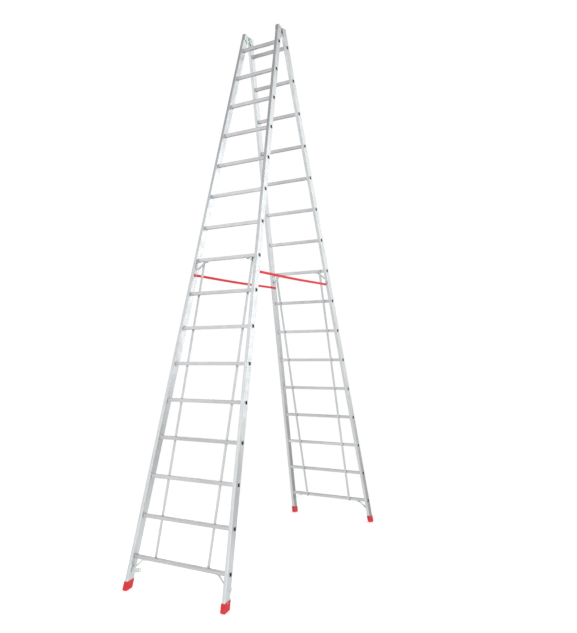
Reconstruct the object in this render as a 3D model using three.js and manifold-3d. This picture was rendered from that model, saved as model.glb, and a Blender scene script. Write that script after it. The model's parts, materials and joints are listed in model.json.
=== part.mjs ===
// Double-sided rung stepladder in millimetres, +Z up.
//
// Two ladder leaves of sixteen rungs are hinged together at the top and held apart by two
// straps. The origin is on the floor, midway between the four feet. +X is the width, the
// front leaf stands towards -Y and the rear leaf towards +Y.
//
// Each leaf is modelled in a frame of its own, the leaf frame: its origin is on the hinge
// axis, x is the width, -y points out of the climbing face and z points up the leaf. The
// rear leaf is the same arrangement turned half round the vertical axis.

import * as THREE from 'three';
import { mergeVertices } from 'three/addons/utils/BufferGeometryUtils.js';
import Module from 'manifold-3d';

const wasm = await Module();
wasm.setup();

// ---------------------------------------------------------------- driving dimensions

const RUNG_COUNT = 16;
const RUNG_PITCH = 280;
const TOP_RUNG_BELOW_TOP = 158;
const BOTTOM_RUNG_ABOVE_SOLE = 235;
const OPENING_ANGLE = THREE.MathUtils.degToRad(29.8);
const TOP_RUNG_HALF_WIDTH = 190;
const BOTTOM_RUNG_HALF_WIDTH = 418;

const STILE_DEPTH = 58;
const STILE_WIDTH = 25;
const STILE_WALL = 2;
const STILE_CORNER = 2.5;
const BORE_CORNER = 0.5;
const STILE_NOSE_RADIUS = 14;
const STILE_END_ABOVE_SOLE = 37;

const RUNG_SIZE = 25;
const RUNG_WALL = 1.8;
const RUNG_CORNER = 2;
const RUNG_FROM_INNER_FACE = 25;
const RUNG_LIP = 2.5;

const PIVOT_BELOW_TOP = 16;
const PIVOT_TO_INNER_FACE = 10;
const PIN_RADIUS = 6;
const PIN_HOLE_RADIUS = 6.1;
const PIN_HEAD_RADIUS = 10;
const PIN_HEAD_THICKNESS = 4;
const EAR_RADIUS = 16;
const HINGE_THICKNESS = 4;
const HINGE_LAYER_GAP = 0.8;
const FRONT_PLATE_EDGE_DEPTH = 34;
const FRONT_PLATE_WEB_DEPTH = 54;
const REAR_PLATE_DEPTH = 46;
const HINGE_SPAN = 100;

const TIE_BAR_X = 228;
const TIE_BAR_WIDTH = 20;
const TIE_BAR_THICKNESS = 3;
const TIE_BAR_END = 16;
const TIE_BAR_TOP_RUNG = 9;

const BRACED_RUNGS = { upper: 9, lower: 1 };
const BRACE_REACH = 66;
const BRACE_DROP = 78;
const BRACE_RIVET_DROP = 97;
const BRACE_TAB = 10;
const BRACE_TOP_TAB = 24;
const BRACE_WIDTH = 20;
const BRACE_THICKNESS = 3;
const BRACE_FROM_INNER_FACE = 22;

const CATCH_HEIGHT = 28;
const CATCH_THICKNESS = 2;
const CATCH_HOLE_RADIUS = 8;
const CATCH_INNER_END = 38;
const STUD_RADIUS = 5;
const STUD_LENGTH = 6;

const STRAP_RUNG = 9;
const STRAP_DROP = 127;
const STRAP_FROM_INNER_FACE = 28;
const STRAP_TAIL = 14;
const STRAP_WIDTH = 20;
const STRAP_THICKNESS = 2;
const STRAP_WEB_GAP = 1.6;

const SHOE_WALL = 4;
const SHOE_SIDE_WALL = 2.5;
const SHOE_TOE_RIM = 60;
const SHOE_HEEL_RIM = 69;
const SHOE_HEEL_RISE = 5;
const SHOE_HEEL_RADIUS = 8;
const SHOE_TOE_RADIUS = 5;
const SOLE_FLAT = 22;
const SOLE_GROOVE_COUNT = 2;
const SOLE_GROOVE_PITCH = 9;
const SOLE_GROOVE_WIDTH = 3;
const SOLE_GROOVE_DEPTH = 2.5;

// Touching pieces keep this gap.
const GAP = 0.3;
// Longer than any piece a cutting block has to pass through.
const FAR = 12000;
const CYLINDER_SIDES = 24;

// ---------------------------------------------------------------- derived dimensions

const LEAN = OPENING_ANGLE / 2;
const RUNG_SPAN = (RUNG_COUNT - 1) * RUNG_PITCH;
const FLARE = Math.atan((BOTTOM_RUNG_HALF_WIDTH - TOP_RUNG_HALF_WIDTH) / RUNG_SPAN);
const INNER_FACE = PIVOT_TO_INNER_FACE;
const OUTER_FACE = INNER_FACE + STILE_DEPTH;
const TOP_RUNG_Z = PIVOT_BELOW_TOP - TOP_RUNG_BELOW_TOP;
const SOLE_Z = TOP_RUNG_Z - RUNG_SPAN - BOTTOM_RUNG_ABOVE_SOLE;
const PIVOT_HEIGHT = -SOLE_Z * Math.cos(LEAN) - OUTER_FACE * Math.sin(LEAN);

const RUNG_Y = -(INNER_FACE + RUNG_FROM_INNER_FACE);
const RUNG_REACH = (RUNG_SIZE / 2) * (Math.cos(LEAN) + Math.sin(LEAN));
const BRACE_Y = -(INNER_FACE + BRACE_FROM_INNER_FACE);

// Height of a rung's centre in the leaf frame. Rung 1 is the lowest.
const rungZ = (rung) => TOP_RUNG_Z - (RUNG_COUNT - rung) * RUNG_PITCH;

// Distance from the middle plane to the outer and the inner web of a stile at a height.
const outerWeb = (z) => TOP_RUNG_HALF_WIDTH + (TOP_RUNG_Z - z) * Math.tan(FLARE);
const innerWeb = (z) => outerWeb(z) - STILE_WIDTH / Math.cos(FLARE);

// ---------------------------------------------------------------- materials

const metal = (color, roughness) => new THREE.MeshStandardMaterial({ color, roughness, metalness: 0.9 });
const plain = (color, roughness) => new THREE.MeshStandardMaterial({ color, roughness, metalness: 0 });

const materials = {
  stile: metal(0xd3d8dc, 0.45),
  rung: metal(0xb9bcc1, 0.4),
  tieBar: metal(0xc6c9cd, 0.4),
  zinc: metal(0xb9c6c1, 0.35),
  shoe: plain(0xe02232, 0.5),
  webbing: plain(0xd81f2c, 0.85),
};

// ---------------------------------------------------------------- solids and frames

function toSolid(geometry) {
  geometry.deleteAttribute('normal');
  geometry.deleteAttribute('uv');
  const merged = mergeVertices(geometry, 1e-4);
  return new wasm.Manifold(new wasm.Mesh({
    numProp: 3,
    vertProperties: merged.attributes.position.array,
    triVerts: Uint32Array.from(merged.index.array),
  }));
}

function toGeometry(solid) {
  const { vertProperties, triVerts } = solid.getMesh();
  const geometry = new THREE.BufferGeometry();
  geometry.setAttribute('position', new THREE.BufferAttribute(Float32Array.from(vertProperties), 3));
  geometry.setIndex(new THREE.BufferAttribute(Uint32Array.from(triVerts), 1));
  geometry.computeVertexNormals();
  return geometry;
}

function makeMesh(name, geometry, material) {
  const mesh = new THREE.Mesh(geometry, material);
  mesh.name = name;
  return mesh;
}

const X = new THREE.Vector3(1, 0, 0);
const Y = new THREE.Vector3(0, 1, 0);
const Z = new THREE.Vector3(0, 0, 1);

function extrude(shape, depth, curveSegments = 4) {
  return new THREE.ExtrudeGeometry(shape, { depth, bevelEnabled: false, curveSegments });
}

// An outline in x and y, pushed from z0 to z1.
const alongZ = (shape, z0, z1) => extrude(shape, z1 - z0).translate(0, 0, z0);

// An outline in y and z, pushed from x0 to x1.
function alongX(shape, x0, x1, curveSegments) {
  const turn = new THREE.Matrix4().makeBasis(Y, Z, X);
  return extrude(shape, x1 - x0, curveSegments).applyMatrix4(turn).translate(x0, 0, 0);
}

// An outline in x and z, pushed from y0 to y1.
function alongY(shape, y0, y1) {
  const turn = new THREE.Matrix4().makeBasis(X, Z, Y.clone().negate());
  return extrude(shape, y1 - y0).applyMatrix4(turn).translate(0, y1, 0);
}

function cylinderAlongX(radius, x0, x1) {
  const length = Math.abs(x1 - x0);
  const cylinder = new THREE.CylinderGeometry(radius, radius, length, CYLINDER_SIDES);
  return cylinder.rotateZ(Math.PI / 2).translate((x0 + x1) / 2, 0, 0);
}

function polygon(points) {
  return new THREE.Shape(points.map(([a, b]) => new THREE.Vector2(a, b)));
}

// A rectangle between two corners, its own corners rounded by straight or curved steps.
function roundedRectangle(a0, b0, a1, b1, radius, path = new THREE.Shape()) {
  const [left, right] = [Math.min(a0, a1), Math.max(a0, a1)];
  const [low, high] = [Math.min(b0, b1), Math.max(b0, b1)];
  path.moveTo(left + radius, low);
  path.lineTo(right - radius, low);
  path.quadraticCurveTo(right, low, right, low + radius);
  path.lineTo(right, high - radius);
  path.quadraticCurveTo(right, high, right - radius, high);
  path.lineTo(left + radius, high);
  path.quadraticCurveTo(left, high, left, high - radius);
  path.lineTo(left, low + radius);
  path.quadraticCurveTo(left, low, left + radius, low);
  return path;
}

function rectangle(a0, b0, a1, b1) {
  return polygon([[a0, b0], [a1, b0], [a1, b1], [a0, b1]]);
}

// The outline of a strip of even thickness bent along a line of points, with mitred bends.
function bentStrip(points, thickness) {
  const line = points.map(([a, b]) => new THREE.Vector2(a, b));
  const offsets = line.map((point, i) => {
    const before = point.clone().sub(line[Math.max(i - 1, 0)]).normalize();
    const after = line[Math.min(i + 1, line.length - 1)].clone().sub(point).normalize();
    const first = before.lengthSq() ? before : after;
    const last = after.lengthSq() ? after : before;
    const bisector = first.clone().add(last).normalize();
    const normal = new THREE.Vector2(-bisector.y, bisector.x);
    const stretch = 1 / bisector.dot(last);
    return normal.multiplyScalar(stretch * thickness / 2);
  });
  const one = line.map((point, i) => point.clone().add(offsets[i]));
  const other = line.map((point, i) => point.clone().sub(offsets[i]));
  return new THREE.Shape([...one, ...other.reverse()]);
}

// The front leaf's place in the open ladder.
const leafFrame = new THREE.Matrix4()
  .makeRotationX(-LEAN)
  .setPosition(0, 0, PIVOT_HEIGHT);

// A stile's own frame inside the leaf frame. Its origin is where the hinge axis meets the
// outer web, x is square to the webs and z runs up the stile. side is 1 or -1.
function stileFrame(side) {
  return new THREE.Matrix4()
    .makeRotationY(-side * FLARE)
    .setPosition(side * outerWeb(0), 0, 0);
}

// The part of a stile's frame between two depths under its outer web.
function slab(side, depth0, depth1, z0, z1) {
  const shape = rectangle(-side * depth0, -FAR, -side * depth1, FAR);
  return toSolid(alongZ(shape, z0, z1).applyMatrix4(stileFrame(side)));
}

// A rung's outer block, grown by a clearance, in the leaf frame.
function rungBlock(rung, clearance) {
  const half = RUNG_SIZE / 2 + clearance;
  const block = alongX(rectangle(-half, -half, half, half), -FAR, FAR);
  return toSolid(block.rotateX(LEAN).translate(0, RUNG_Y, rungZ(rung)));
}

// ---------------------------------------------------------------- stiles and rungs

const STILE_END_Z = SOLE_Z + STILE_END_ABOVE_SOLE;

// The section of a stile in its own frame, grown by a clearance or shrunk to its bore.
function stileSection(side, growth, corner, path) {
  return roundedRectangle(
    side * growth,
    -OUTER_FACE - growth,
    -side * (STILE_WIDTH + growth),
    -INNER_FACE + growth,
    corner,
    path,
  );
}

// A hollow box section with a rounded nose at its top, pierced for every rung.
function makeStile(name, side) {
  const section = stileSection(side, 0, STILE_CORNER);
  section.holes.push(stileSection(side, -STILE_WALL, BORE_CORNER, new THREE.Path()));
  const tube = toSolid(alongZ(section, STILE_END_Z, PIVOT_BELOW_TOP).applyMatrix4(stileFrame(side)));

  const nose = new THREE.Shape();
  nose.moveTo(FAR, -FAR);
  nose.lineTo(FAR, FAR);
  nose.lineTo(-OUTER_FACE + STILE_NOSE_RADIUS, FAR);
  nose.lineTo(-OUTER_FACE + STILE_NOSE_RADIUS, PIVOT_BELOW_TOP);
  nose.quadraticCurveTo(-OUTER_FACE, PIVOT_BELOW_TOP, -OUTER_FACE - 1, PIVOT_BELOW_TOP - STILE_NOSE_RADIUS);
  nose.lineTo(-FAR, PIVOT_BELOW_TOP - STILE_NOSE_RADIUS);
  nose.lineTo(-FAR, -FAR);
  let stile = tube.intersect(toSolid(alongX(nose, -FAR, FAR)));

  for (let rung = 1; rung <= RUNG_COUNT; rung++) {
    stile = stile.subtract(rungBlock(rung, GAP));
  }
  return makeMesh(name, toGeometry(stile), materials.stile);
}

// A square tube whose tread is level when the ladder is open.
function makeRung(name, rung) {
  const half = RUNG_SIZE / 2;
  const bore = half - RUNG_WALL;
  const section = roundedRectangle(-half, -half, half, half, RUNG_CORNER);
  section.holes.push(new THREE.Path(rectangle(-bore, -bore, bore, bore).getPoints()));
  const z = rungZ(rung);
  const end = outerWeb(z) + RUNG_LIP;
  const mesh = makeMesh(name, alongX(section, -end, end, 2), materials.rung);
  mesh.position.set(0, RUNG_Y, z);
  mesh.rotation.x = LEAN;
  return mesh;
}

// ---------------------------------------------------------------- tie bars and braces

function makeTieBar(name, side) {
  const x0 = side * TIE_BAR_X - TIE_BAR_WIDTH / 2;
  const low = rungZ(1) - TIE_BAR_END;
  const high = rungZ(TIE_BAR_TOP_RUNG) + TIE_BAR_END;
  const outline = roundedRectangle(x0, low, x0 + TIE_BAR_WIDTH, high, 5);
  const outerY = RUNG_Y + RUNG_REACH + GAP;
  return makeMesh(name, alongY(outline, outerY, outerY + TIE_BAR_THICKNESS), materials.tieBar);
}

// A flat strip from the underside of a rung to the inner web of a stile, with a wedge that
// fills the space between its upper tab and the level rung.
function braceSolid(side, rung) {
  const z = rungZ(rung);
  const middle = GAP + BRACE_THICKNESS / 2;
  const elbowX = innerWeb(z) - BRACE_REACH;
  const tabZ = z - RUNG_REACH - middle;
  const footZ = z - BRACE_RIVET_DROP - BRACE_TAB;
  const line = [
    [innerWeb(footZ) - middle, footZ],
    [innerWeb(z - BRACE_DROP) - middle, z - BRACE_DROP],
    [elbowX, tabZ],
    [elbowX - BRACE_TOP_TAB, tabZ],
  ].map(([x, height]) => [side * x, height]);
  const y0 = BRACE_Y - BRACE_WIDTH / 2;
  const y1 = BRACE_Y + BRACE_WIDTH / 2;
  const strip = toSolid(alongY(bentStrip(line, BRACE_THICKNESS), y0, y1));
  const wedge = rectangle(side * (elbowX - 3), tabZ, side * (elbowX - BRACE_TOP_TAB), z);
  return strip.add(toSolid(alongY(wedge, y0, y1))).subtract(rungBlock(rung, GAP));
}

// Depth of a brace tab's free surface under the outer web.
const TAB_SURFACE = STILE_WIDTH + GAP + BRACE_THICKNESS;

function makeBrace(name, side, rung, hasStud) {
  let brace = braceSolid(side, rung);
  if (hasStud) {
    const z = rungZ(rung) - BRACE_RIVET_DROP;
    const root = -side * (GAP + BRACE_THICKNESS / 2);
    const tip = -side * (GAP + BRACE_THICKNESS + STUD_LENGTH);
    const stud = cylinderAlongX(STUD_RADIUS, root, tip)
      .rotateY(-side * FLARE)
      .translate(side * innerWeb(z), BRACE_Y, z);
    brace = brace.add(toSolid(stud));
  }
  return makeMesh(name, toGeometry(brace), materials.zinc);
}

// ---------------------------------------------------------------- hinge and catch

// An ear round the hinge axis, running into a plate that covers the stile's inner web.
function hingeOutline(edgeDepth, webDepth) {
  const top = PIVOT_BELOW_TOP - 2;
  const outerY = -OUTER_FACE + 2;
  const shape = new THREE.Shape();
  shape.moveTo(outerY, top - 8);
  shape.lineTo(outerY + 8, top);
  shape.lineTo(0, EAR_RADIUS);
  shape.absarc(0, 0, EAR_RADIUS, Math.PI / 2, -1.2, true);
  shape.lineTo(-INNER_FACE - 6, -webDepth);
  shape.lineTo(outerY, -edgeDepth);
  return shape;
}

// The front plate lies on the web and carries the headed hinge pin, which is riveted in it.
function makeFrontHingePlate(name, side) {
  const outline = toSolid(alongX(hingeOutline(FRONT_PLATE_EDGE_DEPTH, FRONT_PLATE_WEB_DEPTH), -FAR, FAR));
  const near = STILE_WIDTH + GAP;
  const plate = outline.intersect(slab(side, near, near + HINGE_THICKNESS, -HINGE_SPAN, HINGE_SPAN));
  const web = innerWeb(0);
  const headX = web - GAP - 2 * HINGE_THICKNESS - 2 * HINGE_LAYER_GAP;
  const rootX = web - GAP - HINGE_THICKNESS / 2;
  const shaft = toSolid(cylinderAlongX(PIN_RADIUS, side * rootX, side * (headX - 1)));
  const head = toSolid(cylinderAlongX(PIN_HEAD_RADIUS, side * headX, side * (headX - PIN_HEAD_THICKNESS)));
  return makeMesh(name, toGeometry(plate.add(shaft).add(head)), materials.zinc);
}

// The rear plate steps inwards before the hinge axis, so that its ear passes over the front one.
function makeRearHingePlate(name, side) {
  const outline = toSolid(alongX(hingeOutline(REAR_PLATE_DEPTH, REAR_PLATE_DEPTH), -FAR, FAR));
  const near = STILE_WIDTH + GAP + HINGE_THICKNESS / 2;
  const far = near + HINGE_THICKNESS + HINGE_LAYER_GAP;
  const stepY = -EAR_RADIUS - 3;
  const line = [
    [-side * near, -OUTER_FACE - 10],
    [-side * near, stepY - 8],
    [-side * far, stepY],
    [-side * far, EAR_RADIUS + 10],
  ];
  const section = bentStrip(line, HINGE_THICKNESS);
  const strip = alongZ(section, -HINGE_SPAN, HINGE_SPAN).applyMatrix4(stileFrame(side));
  const hole = toSolid(cylinderAlongX(PIN_HOLE_RADIUS, -FAR, FAR));
  return makeMesh(name, toGeometry(outline.intersect(toSolid(strip)).subtract(hole)), materials.zinc);
}

// A spring tongue riveted over the lower brace's tab. Its hole snaps over the stud of the
// rear leaf when the ladder is folded, so it is as far past the hinge plane as the stud is.
function makeCatchPlate(name, side) {
  const z = rungZ(BRACED_RUNGS.lower) - BRACE_RIVET_DROP;
  const half = CATCH_HEIGHT / 2;
  const holeY = -BRACE_Y;
  const shape = new THREE.Shape();
  shape.moveTo(-INNER_FACE - CATCH_INNER_END, z + half);
  shape.lineTo(-INNER_FACE - CATCH_INNER_END, z - half);
  shape.lineTo(holeY, z - half);
  shape.absarc(holeY, z, half, -Math.PI / 2, Math.PI / 2, false);
  const hole = new THREE.Path();
  hole.absarc(holeY, z, CATCH_HOLE_RADIUS, 0, 2 * Math.PI, false);
  shape.holes.push(hole);
  const tongue = toSolid(alongX(shape, -FAR, FAR, 8));
  const near = TAB_SURFACE + GAP;
  const layer = slab(side, near, near + CATCH_THICKNESS, z - 2 * CATCH_HEIGHT, z + 2 * CATCH_HEIGHT);
  return makeMesh(name, toGeometry(tongue.intersect(layer)), materials.zinc);
}

// ---------------------------------------------------------------- shoes and straps

// A point given by its distance out of the hinge plane and its height above the floor, on
// the front leaf of the open ladder.
function frontPoint(out, height) {
  const down = (PIVOT_HEIGHT - height + out * Math.sin(LEAN)) / Math.cos(LEAN);
  return [-(down * Math.sin(LEAN) + out * Math.cos(LEAN)), height];
}

// The side view of a shoe: a rim that rises to the heel, faces that follow the stile, a level
// grooved sole behind the toe, and a ramp from there up to the rounded heel.
function shoeOutline() {
  const [toeY] = frontPoint(OUTER_FACE + SHOE_WALL, 0);
  const [heelY] = frontPoint(INNER_FACE - SHOE_WALL, SHOE_HEEL_RISE);
  const [rimToeY] = frontPoint(OUTER_FACE + SHOE_WALL, SHOE_TOE_RIM);
  const [rimHeelY] = frontPoint(INNER_FACE - SHOE_WALL, SHOE_HEEL_RIM);
  const toeTangent = SHOE_TOE_RADIUS * Math.tan((Math.PI / 2 + LEAN) / 2);
  const rampY = toeY + toeTangent + SOLE_FLAT;
  const ramp = Math.atan2(SHOE_HEEL_RISE, heelY - rampY);
  const heelTangent = SHOE_HEEL_RADIUS * Math.tan((Math.PI / 2 - LEAN - ramp) / 2);
  const heelCentreY = heelY - heelTangent * Math.cos(ramp) - SHOE_HEEL_RADIUS * Math.sin(ramp);
  const heelCentreZ = SHOE_HEEL_RISE - heelTangent * Math.sin(ramp) + SHOE_HEEL_RADIUS * Math.cos(ramp);
  const shape = new THREE.Shape();
  shape.moveTo(rimHeelY, SHOE_HEEL_RIM);
  shape.lineTo(rimToeY, SHOE_TOE_RIM);
  shape.absarc(toeY + toeTangent, SHOE_TOE_RADIUS, SHOE_TOE_RADIUS, Math.PI - LEAN, 1.5 * Math.PI, false);
  const firstGroove = toeY + toeTangent + 5;
  for (let i = 0; i < SOLE_GROOVE_COUNT; i++) {
    const y = firstGroove + i * SOLE_GROOVE_PITCH;
    shape.lineTo(y, 0);
    shape.lineTo(y, SOLE_GROOVE_DEPTH);
    shape.lineTo(y + SOLE_GROOVE_WIDTH, SOLE_GROOVE_DEPTH);
    shape.lineTo(y + SOLE_GROOVE_WIDTH, 0);
  }
  shape.lineTo(rampY, 0);
  shape.absarc(heelCentreY, heelCentreZ, SHOE_HEEL_RADIUS, ramp - Math.PI / 2, -LEAN, false);
  return shape;
}

function makeShoe(name, side) {
  const block = alongX(shoeOutline(), -FAR, FAR, 6).applyMatrix4(leafFrame.clone().invert());
  const body = toSolid(block);
  const low = SOLE_Z - 2 * SHOE_HEEL_RIM;
  const high = SOLE_Z + 3 * SHOE_HEEL_RIM;
  const sides = slab(side, -SHOE_SIDE_WALL, STILE_WIDTH + SHOE_SIDE_WALL, low, high);
  const socketSection = stileSection(side, GAP, STILE_CORNER);
  const socket = alongZ(socketSection, STILE_END_Z - GAP, 0).applyMatrix4(stileFrame(side));
  const shoe = toGeometry(body.intersect(sides).subtract(toSolid(socket)));
  return makeMesh(name, shoe, materials.shoe);
}

// Flat webbing between the inner webs of a front and a rear stile.
function makeStrap(name, side) {
  const out = INNER_FACE + STRAP_FROM_INNER_FACE;
  const z = rungZ(STRAP_RUNG) - STRAP_DROP;
  const height = PIVOT_HEIGHT + z * Math.cos(LEAN) + out * Math.sin(LEAN);
  const [endY] = frontPoint(out + STRAP_TAIL, height);
  const x = side * (innerWeb(z) - STRAP_WEB_GAP - STRAP_THICKNESS / 2);
  const strap = new THREE.BoxGeometry(STRAP_THICKNESS, -2 * endY, STRAP_WIDTH);
  const mesh = makeMesh(name, strap, materials.webbing);
  mesh.position.set(x, 0, height);
  return mesh;
}

// ---------------------------------------------------------------- the ladder

// One leaf. Its names say front or rear, and left or right as seen from the front.
function makeLeaf(end) {
  const isFront = end === 'front';
  const leaf = new THREE.Group();
  leaf.position.z = PIVOT_HEIGHT;
  leaf.rotation.x = -LEAN;

  for (const side of [-1, 1]) {
    const hand = (side > 0) === isFront ? 'right' : 'left';
    leaf.add(makeStile(`stile_${end}_${hand}`, side));
    leaf.add(makeShoe(`foot_${end}_${hand}`, side));
    leaf.add(makeTieBar(`tie_bar_${end}_${hand}`, side));
    for (const [level, rung] of Object.entries(BRACED_RUNGS)) {
      const hasStud = !isFront && level === 'lower';
      leaf.add(makeBrace(`brace_${end}_${level}_${hand}`, side, rung, hasStud));
    }
    const makeHingePlate = isFront ? makeFrontHingePlate : makeRearHingePlate;
    leaf.add(makeHingePlate(`hinge_plate_${end}_${hand}`, side));
    if (isFront) {
      leaf.add(makeCatchPlate(`catch_plate_${hand}`, side));
    }
  }
  for (let rung = 1; rung <= RUNG_COUNT; rung++) {
    leaf.add(makeRung(`rung_${end}_${String(rung).padStart(2, '0')}`, rung));
  }

  const turned = new THREE.Group();
  turned.rotation.z = isFront ? 0 : Math.PI;
  turned.add(leaf);
  return turned;
}

const ladder = new THREE.Group();
ladder.add(makeLeaf('front'));
ladder.add(makeLeaf('rear'));
ladder.add(makeStrap('strap_left', -1));
ladder.add(makeStrap('strap_right', 1));

export default ladder;
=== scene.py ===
"""Looks of a double-sided rung stepladder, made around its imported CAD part, in metres.

Each leaf has a frame of its own: its origin is on the hinge axis, x is the width, -y points
out of the climbing face and z points up the leaf. Pieces are made in that frame and placed
by its matrix. "out" is a distance out of the climbing face, so y is -out.
"""

import json
import math

import bmesh
import bpy
from mathutils import Matrix, Vector


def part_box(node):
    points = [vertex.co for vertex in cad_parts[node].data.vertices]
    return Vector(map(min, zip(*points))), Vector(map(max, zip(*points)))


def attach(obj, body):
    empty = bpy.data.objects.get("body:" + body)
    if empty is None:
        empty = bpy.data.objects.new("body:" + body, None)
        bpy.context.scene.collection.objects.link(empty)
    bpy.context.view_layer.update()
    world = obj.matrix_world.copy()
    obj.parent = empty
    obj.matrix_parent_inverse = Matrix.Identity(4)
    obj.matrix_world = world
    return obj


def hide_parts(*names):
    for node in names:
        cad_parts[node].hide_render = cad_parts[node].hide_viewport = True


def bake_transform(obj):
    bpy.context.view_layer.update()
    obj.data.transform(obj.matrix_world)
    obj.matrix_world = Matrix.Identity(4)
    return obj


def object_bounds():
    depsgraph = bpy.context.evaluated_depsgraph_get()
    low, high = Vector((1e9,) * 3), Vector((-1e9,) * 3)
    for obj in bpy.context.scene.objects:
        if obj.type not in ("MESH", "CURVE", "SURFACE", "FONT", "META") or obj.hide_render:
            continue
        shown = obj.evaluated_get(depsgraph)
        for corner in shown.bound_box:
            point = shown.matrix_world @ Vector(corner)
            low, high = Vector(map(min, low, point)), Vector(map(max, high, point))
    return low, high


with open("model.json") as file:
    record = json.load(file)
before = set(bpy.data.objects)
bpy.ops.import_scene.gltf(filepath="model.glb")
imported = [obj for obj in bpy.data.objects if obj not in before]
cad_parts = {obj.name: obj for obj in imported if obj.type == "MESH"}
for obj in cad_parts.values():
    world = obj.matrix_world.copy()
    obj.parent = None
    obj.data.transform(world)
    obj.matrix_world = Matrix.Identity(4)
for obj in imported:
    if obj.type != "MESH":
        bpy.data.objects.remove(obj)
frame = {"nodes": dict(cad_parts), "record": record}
cad_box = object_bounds()

MM = 0.001

# ---------------------------------------------------------------- the frame's own numbers

HINGE = frame["record"]["behaviour"]["joints"][0]
HINGE_HEIGHT = HINGE["pos_m"][2]
LEAN = math.radians(-HINGE["range_deg"][0]) / 2
RUNG_COUNT = 16
TIED_RUNGS = 9
BRACED = {"upper": 9, "lower": 1}

# ---------------------------------------------------------------- driving dimensions

STILE_NEAR = 10 * MM
STILE_FAR = 68 * MM
STILE_WIDTH = 25 * MM
STILE_TOP = 16 * MM
STILE_CORNER = 2.5 * MM
NOSE_RADIUS = 14 * MM

RUNG_HALF = 12.5 * MM
RUNG_WALL = 1.8 * MM
RUNG_CORNER = 2 * MM
RUNG_LIP = 2.5 * MM
GROOVE_PITCH = 2.8 * MM
GROOVE_WIDTH = 1.3 * MM
GROOVE_DEPTH = 0.4 * MM
GROOVES = 7

GAP = 0.3 * MM
PLATE = 3 * MM
CATCH_PLATE = 2 * MM
HINGE_PLATE = 4 * MM
PIN_HEAD_DEPTH = 13.9 * MM

WEB_RIVET_RADIUS = 4.2 * MM
BRACE_RIVET_RADIUS = 4.0 * MM
TIE_RIVET_RADIUS = 4.6 * MM
STRAP_RIVET_RADIUS = 4.6 * MM

BRACE_OUT = 32 * MM
BRACE_RIVET_DROP = 97 * MM
BRACE_REACH = 66 * MM
BRACE_TOP_TAB = 24 * MM

STRAP_OUT = 38 * MM
STRAP_DROP = 127 * MM
STRAP_LAYER = 1.8 * MM
STRAP_FOLD = 78 * MM
STRAP_BEND = 0.62 * STRAP_LAYER
STRAP_SAG = 5 * MM

SHOE_WALL = 4 * MM
SHOE_SIDE_WALL = 2.5 * MM
SHOE_RIM_SLOPE = 9 * MM
SHOE_TOE_RADIUS = 6 * MM
SHOE_HEEL_RADIUS = 8 * MM
SHOE_HEEL_RISE = 5 * MM
SHOE_SOLE_FLAT = 22 * MM
SHOE_EDGE = 1.6 * MM
LUG_HEIGHT = 2.6 * MM
LUG_GROOVE = 2.6 * MM
LUG_CHAMFER = 0.6 * MM
LUG_COUNT = 3
RIB_START = 15 * MM
RIB_PITCH = 4.5 * MM
RIB_LENGTH = 26 * MM
RIB_WIDTH = 2.2 * MM
RIB_COUNT = 5
SHOE_SCREW_OUT = 38 * MM
SHOE_SCREW_BELOW_RIM = 9 * MM


# ---------------------------------------------------------------- frames


class Leaf:
    """One leaf's frame, and where its rungs and stiles are in it."""

    def __init__(self, end):
        self.end = end
        self.body = f"{end}_leaf"
        turn = Matrix.Identity(4) if end == "front" else Matrix.Rotation(math.pi, 4, "Z")
        self.matrix = turn @ Matrix.Translation((0, 0, HINGE_HEIGHT)) @ Matrix.Rotation(-LEAN, 4, "X")
        self.inverse = self.matrix.inverted()
        self.rungs = {}
        self.half_widths = {}
        for rung in range(1, RUNG_COUNT + 1):
            low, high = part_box(f"rung_{end}_{rung:02d}")
            self.rungs[rung] = self.inverse @ ((low + high) / 2)
            self.half_widths[rung] = (high.x - low.x) / 2 - RUNG_LIP
        first, last = self.rungs[1].z, self.rungs[RUNG_COUNT].z
        spread = self.half_widths[1] - self.half_widths[RUNG_COUNT]
        self.flare = math.atan(spread / (last - first))
        self.top_width = self.half_widths[RUNG_COUNT] + last * math.tan(self.flare)

    def outer_web(self, z):
        return self.top_width - z * math.tan(self.flare)

    def inner_web(self, z):
        return self.outer_web(z) - STILE_WIDTH / math.cos(self.flare)

    def hand(self, side):
        return "right" if (side > 0) == (self.end == "front") else "left"

    def stile(self, side):
        """The frame of one stile: x is square to the webs, with the outer web at 0."""
        at_hinge = Matrix.Translation((side * self.top_width, 0, 0))
        return self.matrix @ at_hinge @ Matrix.Rotation(-side * self.flare, 4, "Y")

    def web_point(self, side, z, out, depth):
        """A point in the stile's frame at a leaf height, a depth in from the outer web."""
        along = (z + depth * math.sin(self.flare)) / math.cos(self.flare)
        return Vector((-side * depth, -out, along))


LEAVES = [Leaf("front"), Leaf("rear")]
SIDES = (-1, 1)


# ---------------------------------------------------------------- mesh helpers


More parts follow.
